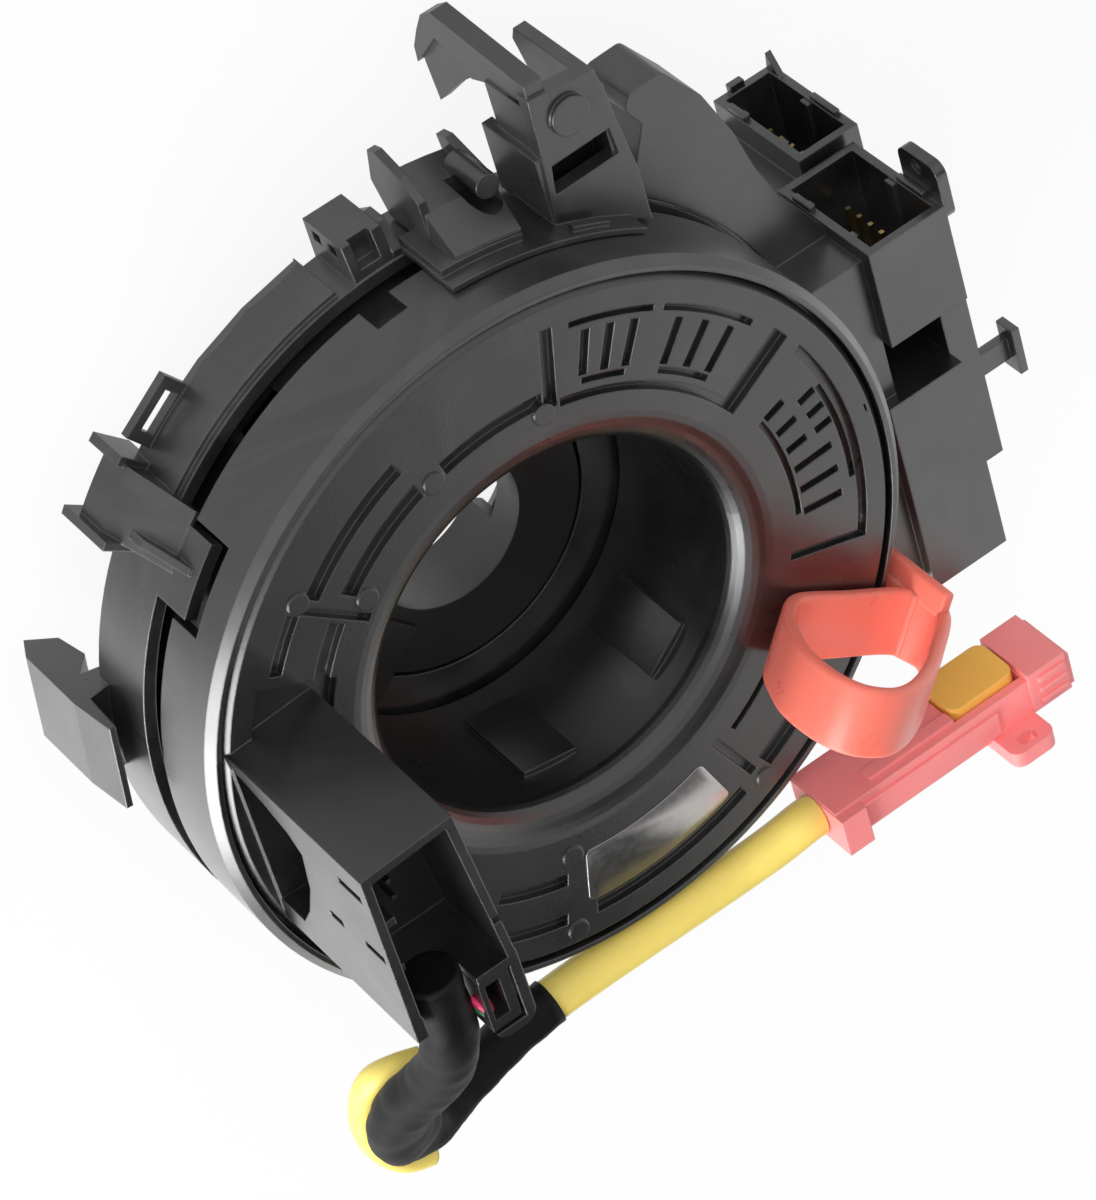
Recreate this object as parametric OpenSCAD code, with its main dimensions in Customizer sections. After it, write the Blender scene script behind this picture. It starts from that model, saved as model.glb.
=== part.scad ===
// Steering clock spring (spiral cable) with a steering angle sensor on its back.
// Millimetres. +Z points to the steering wheel, +X to the connector block.
// The origin is on the turning axis, at the rear end of the shaft bore.

/* [Housing] */
// Outer radius of the round housing
case_r = 52; // [50:0.5:56]
// Wall of the housing mouldings
wall = 1.8; // [1.5:0.1:2.2]
// Depth of the front ring behind the rotor face
ring_depth = 13.3; // [12:0.1:14.5]
// Width of the dark slot between the front ring and the rear housing
slot_w = 4.1; // [3:0.1:5]
// Depth of the round housing behind the rotor face
case_depth = 26.2; // [25.8:0.1:28]
// Thickness of the housing floor
floor_t = 1.6; // [1.3:0.1:2]
// Bevel on the front edge of the ring
ring_bevel = 1.1; // [0.6:0.1:1.5]

/* [Rotor] */
// Running gap between the rotor disc and the ring
disc_gap = 0.4; // [0.3:0.05:0.7]
// Thickness of the rotor disc
disc_t = 2.6; // [2:0.1:3]
// Radius of the bore mouth in the rotor face
mouth_r = 31.4; // [30:0.1:33]
// Radius of the rotor tube inside
throat_r = 26.3; // [25:0.1:27]
// Depth at which the mouth runs out into the tube
throat_depth = 4; // [3:0.1:5]
// Wall of the rotor tube
tube_wall = 1.6; // [1.3:0.1:2]
// Depth of the grooves in the rotor face
groove_d = 1.2; // [0.6:0.1:1.5]
// Inner radius of the grooved band of the face
band_r0 = 34.2; // [33.8:0.1:35]
// Outer radius of the grooved band of the face
band_r1 = 46; // [44:0.1:47]

/* [Tower] */
// Height of the tower's mouth above the rotor face
tower_h = 30; // [24:0.5:34]
// Distance of the tower's outer wall from the axis
tower_out = 47.2; // [46:0.1:47.4]
// Width of the tower at its upper end
tower_w = 13.6; // [12:0.1:14.5]
// Widening of the tower towards the lead's end
tower_flare = 2; // [0:0.1:3]
// Length of the tower
tower_l = 26.2; // [24:0.1:27]
// Place of the tower's upper end along Y
tower_y = 15.2; // [14:0.1:15.4]
// Wall of the tower
tower_wall = 1.3; // [1:0.1:1.6]
// Height of the contact floor inside the tower
tower_floor = 16; // [15.6:0.1:20]

/* [Shaft hub] */
// Radius of the shaft bore
bore_r = 11.3; // [10:0.1:12]
// Length of the shaft bore
hub_len = 11.1; // [10:0.1:12.5]
// Radius of the hub's bearing barrel
barrel_r = 14; // [13.4:0.1:14.6]
// Radius of the hub's flange
flange_r = 20.5; // [19:0.1:21]
// Radial running clearance of shafts in their bearings
run_fit = 0.05; // [0.02:0.01:0.09]
// Tooth module of the sensor's gears
gear_m = 0.6; // [0.58:0.01:0.62]

/* [Angle sensor] */
// Depth of the sensor's front behind the rotor face
sensor_front = 28; // [27.9:0.1:28.6]
// Depth of the sensor's flat lid behind the rotor face
lid_back = 41; // [40.6:0.1:42]
// Depth of the sensor's collar and socket arm behind the rotor face
sensor_back = 47; // [46:0.1:50]
// Room between the gears' tips and the sensor's wall
gear_room = 1.2; // [0.6:0.1:1.6]
// Wall of the sensor housing
sensor_wall = 1.5; // [1.2:0.1:1.8]
// Radius of the opening in the sensor's back
back_open_r = 23; // [22.5:0.1:23.6]

/* [Connector block] */
// Depth of the block's front behind the rotor face
block_front = 7.4; // [7.2:0.1:8]
// Depth of the block's back behind the rotor face
block_back = 26.9; // [26:0.1:27.6]
// Inner side of the upper block, measured from the axis
block_x = 58; // [56:0.1:60]
// Width of the upper block
block_w = 12.4; // [11.6:0.1:13]
// Place of the upper socket's mouth along Y
block_y = 18.9; // [18:0.1:20]
// Wall of the sockets
socket_wall = 1.2; // [1:0.1:1.5]
// Depth of the sockets
socket_depth = 13; // [11:0.1:14]

/* [Lock clip] */
// Width of the finger loop's band
clip_w = 9.5; // [8:0.1:11]
// Thickness of the finger loop's band
clip_t = 1.9; // [1.5:0.1:2.3]
// Direction of the clip from the axis
clip_a = -34.2; // [-38:0.1:-30]

/* [Airbag lead] */
// Diameter of the yellow tube
lead_d = 6; // [5:0.1:6.4]
// Diameter of the black sleeves
sleeve_d = 7.4; // [6.8:0.1:7.6]
// Diameter of the thin loop behind the sleeves
loop_d = 4; // [3:0.1:4.2]
// Length of the airbag connector
plug_l = 38.8; // [36:0.1:42]
// Width of the airbag connector
plug_w = 6; // [5.6:0.1:6.6]
// Thickness of the airbag connector
plug_t = 10; // [9.6:0.1:10.4]

/* [Hidden] */
$fn = 96;
eps = 0.01;
seat_gap = 0.3;

// Levels are given as depths behind the rotor face, as the eye meets them from the front.
floor_depth = 27.9;
face_z = hub_len + floor_depth;
function lv(d) = face_z - d;

disc_r = case_r - wall - disc_gap;
tube_r = throat_r + tube_wall;
web_depth = disc_t + 1.4;
retainer_z = tower_h * 0.62;
drum_r = case_r - 6.4;
skirt_r0 = case_r + 0.15;
inner_end_a = 176;
outer_end_a = 12;
body_front = ring_depth + slot_w;
step_front = 9;
low_front = 15.4;
plain_black = [0.07, 0.07, 0.075];
dark_black = [0.045, 0.045, 0.05];
clip_pink = [0.98, 0.47, 0.42];
plug_pink = [0.96, 0.4, 0.45];
lead_yellow = [0.93, 0.86, 0.36];

// A ring sector: radii, angles and depths behind the face.
module sector(r0, r1, a0, a1, d0, d1) {
    rotate([0, 0, a0])
        rotate_extrude(angle = a1 - a0)
            translate([r0, lv(d1)])
                square([r1 - r0, d1 - d0]);
}

// A whole ring between two radii and two depths.
module ring(r0, r1, d0, d1) {
    rotate_extrude()
        translate([r0, lv(d1)])
            square([r1 - r0, d1 - d0]);
}

// A bar that points away from the axis.
module spoke(a, r0, r1, w, d0, d1) {
    rotate([0, 0, a])
        translate([r0, -w / 2, lv(d1)])
            cube([r1 - r0, w, d1 - d0]);
}

// A box given by its corners along X and Y and by its depths.
module block(x0, x1, y0, y1, d0, d1) {
    translate([x0, y0, lv(d1)])
        cube([x1 - x0, y1 - y0, d1 - d0]);
}

// A profile drawn in Y and Z, pulled along X.
module along_x(x0, w) {
    translate([x0, 0, 0])
        rotate([90, 0, 90])
            linear_extrude(w)
                children();
}

// A rounded rectangle around the origin.
module round_rect(w, h, r) {
    offset(r, $fn = 24)
        square([w - 2 * r, h - 2 * r], center = true);
}

// Housing, stationary side

// Front ring: the outer skirt, the web behind the rotor disc and the inner drum that holds the ribbon.
module case_ring() {
    notch = [[133, 146.6, web_depth + floor_t + 0.3], [140, 200, 11.3], [93, 98, 9]];
    lip = disc_t + seat_gap;
    color(plain_black)
    difference() {
        rotate_extrude()
            polygon([
                [case_r - wall, lv(0)], [case_r - ring_bevel, lv(0)], [case_r, lv(ring_bevel)],
                [case_r, lv(ring_depth)], [case_r - wall, lv(ring_depth)],
                [case_r - wall, lv(web_depth + floor_t)], [drum_r + wall, lv(web_depth + floor_t)],
                [drum_r + wall, lv(case_depth - floor_t)], [drum_r, lv(case_depth - floor_t)],
                [drum_r, lv(web_depth)], [disc_r - 1.8, lv(web_depth)], [disc_r - 1.8, lv(lip)],
                [disc_r - 0.6, lv(lip)], [disc_r - 0.6, lv(web_depth)], [case_r - wall, lv(web_depth)]
            ]);
        for (n = notch)
            sector(case_r - wall - 0.5, case_r + 1, n[0], n[1], n[2], ring_depth + 1);
        for (a = [-67 : 90 : 203])
            sector(drum_r - 0.5, drum_r + wall + 0.5, a, a + 8, 17, 21);
    }
}

// One snap claw that grips the column bracket: a root on the housing wall and a hook behind it.
module claw(a, w) {
    rotate([0, 0, a])
        translate([case_r, w / 2, 0])
            rotate([90, 0, 0])
                linear_extrude(w)
                    polygon([
                        [2.9, lv(16.8)], [3.8, lv(16.8)], [4.6, lv(24)], [4.6, lv(36)], [3.2, lv(39)],
                        [-0.4, lv(36.4)], [-1.3, lv(31.4)], [1.2, lv(28.4)], [-1.5, lv(28)],
                        [-1.5, lv(24.4)], [2.6, lv(23.4)]
                    ]);
}

// Raised claw with two arms at the top of the housing.
module top_claw() {
    plate = 10;
    difference() {
        translate([0, case_r, 0]) {
            translate([0, 0, lv(plate + 2.2)])
                linear_extrude(2.2)
                    difference() {
                        polygon([[20.4, 16], [29.8, 15], [30.5, 12], [31.1, 5.3], [32, -2.4],
                                 [31.9, -14], [24, -10], [18.9, -8], [20.1, 7.4]]);
                        polygon([[21, 5.4], [29.7, 5.7], [30, 1.5], [20.4, 1.2]]);
                    }
            block(19.2, 20.8, -9, 7, plate + 0.4, 22);
            block(20.3, 21.9, 5.8, 14, plate + 0.5, 20);
            block(29.4, 30.8, -14, 11.8, plate + 0.4, 16.4);
            block(20.5, 30.6, -13, 8, 15, 16.2);
            translate([25.1, 11, lv(plate)])
                cylinder(r = 2.7, h = 0.7);
            difference() {
                along_x(20.6, 2.6)
                    polygon([
                        [17.9, lv(10.4)], [19.1, lv(30.2)], [17.2, lv(33.2)], [13.8, lv(35.5)],
                        [9.9, lv(37.8)], [6.8, lv(38.2)], [0.8, lv(37.3)], [4.6, lv(33.2)],
                        [7.8, lv(29.7)], [11.9, lv(24.1)], [13.6, lv(19.5)], [14.4, lv(13)],
                        [14.4, lv(plate + 0.4)]
                    ]);
                along_x(20.5, 1.1)
                    polygon([
                        [6.8, lv(38.5)], [14.6, lv(31.2)], [14.2, lv(25.2)], [11.8, lv(24)],
                        [7.7, lv(29.6)], [0.4, lv(37.6)]
                    ]);
            }
            along_x(28.4, 1.8)
                polygon([
                    [14.3, lv(plate + 0.3)], [14.1, lv(25.4)], [12, lv(26.4)], [6.3, lv(23.4)],
                    [6.3, lv(plate + 0.3)]
                ]);
        }
        cylinder(r = case_r + 0.4, h = 3 * face_z, center = true);
    }
}

// U-shaped channel bracket beside the top claw, with its guide pin.
module channel_bracket() {
    pin = [14, case_r + 4.9];
    sector(skirt_r0 + 0.3, skirt_r0 + 1.8, 74.6, 87.1, 9, body_front + 1);
    difference() {
        union() {
            translate([0, case_r, 0])
                along_x(5.2, 1.2)
                    polygon([
                        [-1, lv(15.2)], [7, lv(15.4)], [9.4, lv(18.5)], [10.9, lv(23.4)],
                        [10.4, lv(25.2)], [4.8, lv(26.9)], [-1, lv(24)]
                    ]);
            translate([0, case_r, 0])
                along_x(14.6, 1.2)
                    polygon([
                        [-2, lv(14.2)], [4.9, lv(16)], [7, lv(23.3)], [6.4, lv(25.6)], [-2, lv(24)]
                    ]);
            // Floor with a sloping front, hollowed round the pin
            difference() {
                rotate([0, 0, 74.3])
                    rotate_extrude(angle = 10)
                        translate([case_r, 0])
                            polygon([
                                [-0.5, lv(9.6)], [2.2, lv(9.6)], [5.5, lv(15.5)],
                                [6.5, lv(24.6)], [-0.5, lv(24.6)]
                            ]);
                translate([pin[0], pin[1], lv(19.5)])
                    cylinder(r = 3, h = 20);
            }
            translate([pin[0], pin[1], lv(21)])
                cylinder(r = 1.7, h = 7.1);
        }
        cylinder(r = case_r + 0.4, h = 3 * face_z, center = true);
    }
}

// Slotted box left of the channel bracket.
module slot_box() {
    difference() {
        translate([0, case_r, 0])
            difference() {
                union() {
                    along_x(-4.7, 5.8)
                        polygon([
                            [-1.6, lv(body_front + 0.2)], [-0.2, lv(body_front + 0.2)], [5, lv(18.6)],
                            [5, lv(27.3)], [-1.6, lv(27.3)]
                        ]);
                    along_x(1.1, 1.2)
                        polygon([
                            [-1.6, lv(body_front + 0.2)], [1, lv(body_front + 0.2)], [4.8, lv(19.4)],
                            [4.8, lv(22.6)], [2.6, lv(26)], [-1.6, lv(26)]
                        ]);
                }
                for (d = [20.4, 24])
                    block(-5, -3.4, 2.4, 4, d, d + 1.8);
                block(-3.4, -0.4, 1.2, 6, 17, 19.6);
            }
        cylinder(r = case_r - wall / 2, h = 3 * face_z, center = true);
    }
}

// Sloping pad with two radial fins and a wedge rib at the upper left.
module fin_pad() {
    rotate([0, 0, 132.2])
        rotate_extrude(angle = 9.2)
            translate([case_r, 0])
                polygon([[-0.5, lv(29)], [4.2, lv(29)], [4.2, lv(24)], [0.2, lv(13.8)], [-0.5, lv(13.8)]]);
    spoke(132, case_r - 0.6, case_r + 5.2, 1.3, 24.6, 31.4);
    spoke(141.8, case_r - 0.6, case_r + 5.4, 1.2, 21, 31);
    rotate([0, 0, 139.4])
        translate([case_r, 0.55, 0])
            rotate([90, 0, 0])
                linear_extrude(1.1)
                    polygon([
                        [-0.6, lv(10.4)], [0.3, lv(10.4)], [2.8, lv(17.5)], [2.8, lv(22)], [-0.6, lv(22)]
                    ]);
}

// Snap loop between the fins and the slotted box.
module snap_loop() {
    rotate([0, 0, 124.8])
        translate([0, 0, lv(27.2)])
            linear_extrude(1.3)
                difference() {
                    translate([case_r - 0.5, -4.5])
                        square([5, 9]);
                    translate([case_r + 1.2, -2.9])
                        square([2, 5.8]);
                }
}

// Rear housing: floor, outer wall, claws, brackets and the seat ring for the sensor.
module case_body() {
    color(plain_black)
    union() {
        difference() {
            union() {
                rotate_extrude()
                    polygon([
                        [case_r - wall, lv(step_front)], [case_r, lv(step_front)], [case_r, lv(case_depth)],
                        [sensor_r, lv(case_depth)], [sensor_r, lv(sensor_front)],
                        [sensor_r - 4, lv(sensor_front)], [sensor_r - 4, lv(case_depth)],
                        [tube_r + 1.6, lv(case_depth)], [tube_r + 1.6, lv(case_depth - floor_t)],
                        [case_r - wall, lv(case_depth - floor_t)]
                    ]);
                sector(case_r - wall + 0.5, case_r + 0.7, 98, 134, body_front + 0.9, case_depth + 1.4);
            }
            // Front edges of the wall: it stands up to the step only beside the fins
            sector(case_r - wall - 0.5, case_r + 1, 145.6, 201, step_front - 1, low_front);
            sector(case_r - wall - 0.5, case_r + 1, 200, 494.3, step_front - 1, body_front);
            for (a = [103, 112, 121])
                rotate([0, 0, a])
                    translate([case_r + 0.1, -4.4, lv(case_depth + 2)])
                        rotate([0, 14, 0])
                            cube([3, 8.8, 7]);
        }
        skirt();
        top_claw();
        channel_bracket();
        slot_box();
        fin_pad();
        snap_loop();
        claw(172.3, 13);
        claw(-82, 13);
    }
}

// Skirt over the ring, with its root behind the slot and two latch bars.
module skirt() {
    rotate([0, 0, 56.5])
        rotate_extrude(angle = 30.9)
            polygon([
                [skirt_r0, lv(6.4)], [skirt_r0 + 0.75, lv(6.4)], [skirt_r0 + 0.75, lv(body_front + 1.6)],
                [case_r - wall / 2, lv(body_front + 1.6)], [case_r - wall / 2, lv(body_front + 0.2)],
                [skirt_r0, lv(body_front + 0.2)]
            ]);
    sector(skirt_r0 + 0.3, skirt_r0 + 1.4, 57, 61.8, 14.2, 15.4);
    sector(skirt_r0 + 0.3, skirt_r0 + 1.4, 61.9, 67.6, 7.6, 8.8);
}

// Connector block: upper socket, lower block, side strip and the webs to the housing.
module connector_block() {
    x1 = block_x + block_w;
    y_low = -38.5;
    color(plain_black)
    difference() {
        union() {
            block(block_x, x1, 3.1, block_y, block_front, block_back);
            block(block_x - 2.6, x1 - 3, y_low, -6, block_front, block_back);
            block(block_x, x1 - 2.6, -6.1, 3.2, block_back - 2.9, block_back);
            block(x1 - 3.1, x1 + 1.2, -26.5, 1, 10, block_back);
            // Holed ear beside the mouth, and the hook on the side strip
            along_x(x1 - 0.2, 1.6)
                translate([block_y + 1.5, lv(block_front + 4.2)])
                    difference() {
                        round_rect(9, 8.2, 1.8);
                        translate([2.6, -0.4])
                            circle(1, $fn = 24);
                    }
            block(x1 + 1, x1 + 7.6, -15, -11.5, 12, 13.4);
            block(x1 + 6.8, x1 + 8, -17, -9.5, 10.4, 13.8);
            block(44, block_x + 1, 3.1, 17, 9.4, block_back);
            block(44, block_x, y_low + 1, 3.2, 9.4, block_back);
            wing();
        }
        cylinder(r = case_r + seat_gap, h = 3 * face_z, center = true);
        translate([block_x + socket_wall, block_y - socket_depth, lv(block_back - socket_wall)])
            cube([block_w - 2 * socket_wall, socket_depth + 1, block_back - block_front - 2 * socket_wall]);
    }
}

// Flange with a turned-down rim that bridges the housing and the sockets.
module wing_2d() {
    offset(1.2, $fn = 24)
        offset(-1.2, $fn = 24)
            polygon([[33.2, 40], [37.4, 49.3], [35.6, 52.6], [36.8, 54.6], [41.8, 54.8], [46.2, 48.2],
                     [49.1, 40.2], [50.8, 33.1], [53.2, 26.6], [58.8, 17], [58.8, 8], [44, 6]]);
}

module wing() {
    translate([0, 0, lv(19)])
        linear_extrude(2)
            wing_2d();
    translate([0, 0, lv(26)])
        linear_extrude(7.2)
            difference() {
                wing_2d();
                offset(-1.6, $fn = 24)
                    wing_2d();
            }
}

// Rows of contact pins in the upper socket.
module block_pins() {
    color([0.86, 0.72, 0.35])
    for (row = [0, 1], i = [0 : 5])
        translate([block_x + 4 + row * 3.4, block_y - socket_depth, lv(block_front + 4 + i * 2.4)])
            translate([-0.32, 0, -0.32])
                cube([0.64, 7, 0.64]);
}

// Moulded block in which the outer end of the ribbon is welded to the pins.
module outer_lead_block() {
    color([0.55, 0.55, 0.5])
    sector(drum_r - 2.9, drum_r - seat_gap, outer_end_a - 8, outer_end_a + 8, 8, 22);
}

// Ribbon cable and its ends

// Flat ribbon wound as a spiral between the rotor tube and the drum.
module ribbon_cable() {
    t = 0.4;
    r_in = tube_r + 2.7;
    r_out = drum_r - 3.4;
    a_in = inner_end_a;
    a_out = outer_end_a + 4 * 360;
    n = 86;
    function rr(i) = r_in + (r_out - r_in) * i / n;
    function aa(i) = a_in + (a_out - a_in) * i / n;
    color([0.85, 0.5, 0.2])
    translate([0, 0, lv(21.5)])
        linear_extrude(14)
            polygon(concat(
                [for (i = [0 : n]) rr(i) * [cos(aa(i)), sin(aa(i))]],
                [for (i = [n : -1 : 0]) (rr(i) + t) * [cos(aa(i)), sin(aa(i))]]
            ));
}

// Moulded block that carries the ribbon's inner end up into the tower.
module inner_lead_block() {
    color([0.55, 0.55, 0.5])
    rotate([0, 0, inner_end_a])
        translate([tube_r + 0.1, -4.5, lv(21)])
            cube([1.8, 9, 13.6]);
}

// Angle sensor

gear_z_d0 = 31;
gear_z_d1 = 34.4;
ring_teeth = 68;
teeth_a = 24;
teeth_b = 22;
post_r = 1.6;
magnet_r = 2.4;
function gear_dist(teeth) = gear_m * (ring_teeth + teeth) / 2;
sensor_r = gear_dist(teeth_a) + gear_m * (teeth_a / 2 + 0.8) + gear_room + sensor_wall;
angle_a = 100;
angle_b = 160;
collar_r = back_open_r + sensor_wall;
collar_front = gear_z_d1 + 1;
hub_back = gear_z_d1 + 0.7;
magnet_t = 1.2;
board_d = lid_back - sensor_wall - 2.3;
board_hole_r = (collar_r + sensor_r) / 2;

// Outline of a spur gear: straight flanks stand in for the involute at this small module.
module gear_2d(teeth, turn) {
    pitch = gear_m * teeth / 2;
    tip = pitch + 0.8 * gear_m;
    root = pitch - 1.15 * gear_m;
    step = 360 / teeth;
    function at(r, a) = r * [cos(a), sin(a)];
    half_tip = step * 0.11;
    half_root = step * 0.34;
    polygon([for (i = [0 : teeth - 1], k = [0 : 3])
        at(k == 0 || k == 3 ? root : tip,
           turn + i * step + (k == 0 ? -half_root : k == 1 ? -half_tip : k == 2 ? half_tip : half_root))]);
}

// Sensor housing: front plate, round wall, bearing for the hub, gear posts and the socket arm.
module sensor_housing() {
    x0 = 62.6;
    x1 = 72.2;
    y1 = 20.1;
    inner = sensor_r - sensor_wall;
    shelf = lid_back - sensor_wall;
    color(plain_black)
    difference() {
        union() {
            ring(flange_r + 0.6, sensor_r, sensor_front, sensor_front + sensor_wall);
            ring(inner, sensor_r, sensor_front, shelf);
            ring(barrel_r + run_fit, collar_r, collar_front, collar_front + 1.4);
            ring(back_open_r, collar_r, collar_front, sensor_back);
            for (a = [40, 130, 220, 310])
                spoke(a, inner - 3.4, inner + 0.5, 2, sensor_front + 1, board_d);
            for (a = [10, 70, 190, 250])
                spoke(a, collar_r - 0.5, inner + 0.5, 1.6, board_d + 1.2 + seat_gap, shelf);
            difference() {
                block(30, x1, -16, 16, sensor_front, sensor_back);
                cylinder(r = inner, h = 3 * face_z, center = true);
                ring(0, sensor_r + seat_gap, shelf - eps, sensor_back + 1);
                difference() {
                    block(28, x0 - 2, -14.4, 14.4, sensor_front + sensor_wall, sensor_back - sensor_wall);
                    cylinder(r = sensor_r + 1.8, h = 3 * face_z, center = true);
                }
            }
            block(x0, x1, -20, y1, sensor_front, sensor_back);
            // Small stop and a pointed key at the rear edge of the mouth
            block(x0 + 2.4, x0 + 4.6, y1 - 1, y1 + 1.2, sensor_back - 1, sensor_back + 0.6);
            along_x(x1 - 1.1, 0.9)
                polygon([
                    [y1 - 0.6, lv(sensor_back - 0.4)], [y1 - 0.6, lv(sensor_back - 3.6)],
                    [y1 + 3.2, lv(sensor_back - 1.2)]
                ]);
            for (g = [[angle_a, teeth_a], [angle_b, teeth_b]])
                rotate([0, 0, g[0]])
                    translate([gear_dist(g[1]), 0, 0]) {
                        translate([0, 0, lv(33)])
                            cylinder(r = post_r, h = 33 - sensor_front - 0.5, $fn = 48);
                        translate([0, 0, lv(gear_z_d0 - seat_gap)])
                            cylinder(r = post_r + 1.6, h = 2, $fn = 48);
                    }
        }
        translate([x0 + socket_wall, y1 - socket_depth, lv(sensor_back - socket_wall)])
            cube([x1 - x0 - 2 * socket_wall, socket_depth + 1, sensor_back - sensor_front - 2 * socket_wall]);
        sector(inner - 0.1, sensor_r + 2, -20, 20, sensor_front + 4, board_d + 1);
    }
}

// Lid on the back of the sensor housing.
module sensor_cover() {
    color(dark_black)
    difference() {
        ring(collar_r + seat_gap, sensor_r, lid_back - sensor_wall, lid_back);
        for (a = [60, 180, 300])
            rotate([0, 0, a])
                translate([board_hole_r, 0, lv(lid_back) - 1])
                    cylinder(r = 1.4, h = sensor_wall + 2, $fn = 32);
    }
}

// Circuit board between the gears and the lid.
module sensor_board() {
    color([0.08, 0.32, 0.16])
    difference() {
        sector(collar_r + 0.5, sensor_r - sensor_wall - 0.4, 24, 336, board_d, board_d + 1.2);
        for (a = [60, 180, 300])
            rotate([0, 0, a])
                translate([board_hole_r, 0, lv(board_d + 2)])
                    cylinder(r = 1.2, h = 4, $fn = 32);
    }
}

// Magnetic sensor chips on the board, each facing a gear's magnet.
module sensor_chips() {
    color([0.12, 0.12, 0.13])
    for (g = [[angle_a, teeth_a], [angle_b, teeth_b]])
        rotate([0, 0, g[0]])
            translate([gear_dist(g[1]) - 2.2, -2.2, lv(board_d)])
                cube([4.4, 4.4, 0.8]);
}

// Contact pins in the sensor's own socket.
module sensor_pins() {
    color([0.86, 0.72, 0.35])
    for (i = [0 : 5])
        translate([67.1, 20.1 - socket_depth, lv(31.2 + i * 2.4)])
            cube([0.64, 7, 0.64]);
}

module measuring_gear(a, teeth, turn) {
    color([0.86, 0.85, 0.8])
    rotate([0, 0, a])
        translate([gear_dist(teeth), 0, lv(hub_back)])
            difference() {
                union() {
                    translate([0, 0, hub_back - gear_z_d1])
                        linear_extrude(gear_z_d1 - gear_z_d0)
                            gear_2d(teeth, turn);
                    cylinder(r = 3.6, h = 1.4, $fn = 48);
                }
                translate([0, 0, hub_back - 33.2])
                    cylinder(r = post_r + run_fit, h = 10, $fn = 48);
                translate([0, 0, -1])
                    cylinder(r = magnet_r, h = magnet_t + 1, $fn = 48);
            }
}

module gear_magnet(a, teeth) {
    color([0.35, 0.35, 0.38])
    rotate([0, 0, a])
        translate([gear_dist(teeth), 0, lv(hub_back)])
            cylinder(r = magnet_r - 0.1, h = magnet_t, $fn = 48);
}

// A follower tooth space faces the drive ring on the line of centres: half a pitch off the ring's tooth there.
function mesh_turn(a, teeth) = 180 + 180 / teeth + (a * ring_teeth / teeth) % (360 / teeth);

module measuring_gear_a() measuring_gear(angle_a, teeth_a, mesh_turn(angle_a, teeth_a));
module measuring_gear_b() measuring_gear(angle_b, teeth_b, mesh_turn(angle_b, teeth_b));
module magnet_a() gear_magnet(angle_a, teeth_a);
module magnet_b() gear_magnet(angle_b, teeth_b);

// Rotor

// Turned section of the rotor: disc, mouth and tube.
module rotor_section() {
    mouth = [for (i = [1 : 8])
        [throat_r + (mouth_r - throat_r) * (1 - sin(i * 11.25)), lv(throat_depth * (1 - cos(i * 11.25)))]];
    polygon(concat(
        [[throat_r, lv(floor_depth - 0.9)], [throat_r, lv(throat_depth)]],
        [for (i = [7 : -1 : 0]) mouth[i]],
        [[mouth_r, lv(0)], [disc_r - 0.8, lv(0)], [disc_r, lv(0.8)], [disc_r, lv(disc_t)],
         [mouth_r + 3, lv(disc_t)], [tube_r, lv(throat_depth + 3)], [tube_r, lv(floor_depth - 0.9)]]
    ));
}

// Arc groove cut into the face.
module face_arc(r, w, a0, a1) {
    sector(r - w / 2, r + w / 2, a0, a1, -1, groove_d);
}

// Radial groove cut into the face.
module face_bar(a, r0, r1, w) {
    spoke(a, r0, r1, w, -1, groove_d);
}

// All grooves of the face band. Plain frames and bars fill the panels.
module face_grooves() {
    face_bar(78.2, band_r0 + 0.4, band_r1, 1.9);
    face_bar(30.5, band_r0, band_r1, 3);
    face_arc(band_r1 - 0.6, 1.4, -18.8, 25.4);
    face_bar(-18, band_r0, band_r1, 1.2);
    face_arc(band_r0 + 0.6, 1.2, 32, 76);
    face_bar(5, 48.3, disc_r - 1.2, 1.3);
    // Sunk field around the foot of the tower
    sector(34.4, band_r1, 152, 186, -1, groove_d);
    // Panels above the mouth: frames of thin grooves
    for (p = [[58, 74], [37, 56]]) {
        face_arc(45.3, 0.9, p[0], p[1]);
        face_arc(36.8, 0.9, p[0] + 3, p[1] - 3);
        for (s = [0.2, 0.5, 0.8])
            face_bar(p[0] + s * (p[1] - p[0]), 37.6, 44, 1.3);
    }
    // Panel at the right: two rows of short bars in a frame
    face_arc(44.2, 0.9, -6, 16);
    face_arc(35.6, 0.9, -8, 20);
    for (a = [-8 : 5.5 : 20])
        face_bar(a, 36.4, a > 5 ? 39.6 : 42.4, 1.2);
    for (a = [8 : 4 : 16])
        face_bar(a, 41, 43.6, 1.2);
    // Left: concentric arcs between two ribs
    face_arc(36.6, 2.6, 110, 134);
    face_arc(41.8, 2.4, 110, 136);
    face_arc(36.2, 2.2, 80, 104);
    face_bar(138.1, 31.8, 44.6, 1.1);
    face_arc(43.6, 1.8, 139, 150);
    face_arc(36.6, 2.4, 140, 153);
    // Bottom: frames beside the label
    face_arc(44.6, 1.8, -122, -106);
    face_arc(38.2, 2, -122, -106);
    face_arc(44.8, 2, -100, -68);
    face_bar(-64.5, band_r0, 44, 1.2);
    face_arc(44.4, 3, -62, -44);
    face_bar(-44, 36, 44, 1.2);
    face_arc(35.6, 1, -60, -44);
}

// Round bosses at the ends of the ribs, flush with the face.
module face_bosses() {
    for (b = [[137, 43.6], [134, 33.6], [107, 35.6], [-104, 47], [-104.8, 34.7], [-64, 46.6], [80, 34.2]])
        rotate([0, 0, b[0]])
            translate([b[1], 0, lv(disc_t / 2)])
                cylinder(r = 1.5, h = disc_t / 2 + 0.3, $fn = 32);
}

// Corners of the tower, from its outer upper corner; the lead leaves at its lower end.
tower_low = tower_y - tower_l;
tower_x2 = -tower_out + tower_w;
tower_x3 = tower_x2 + tower_flare;
cut_x = -38.4;
lead_x = -41.7;

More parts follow.
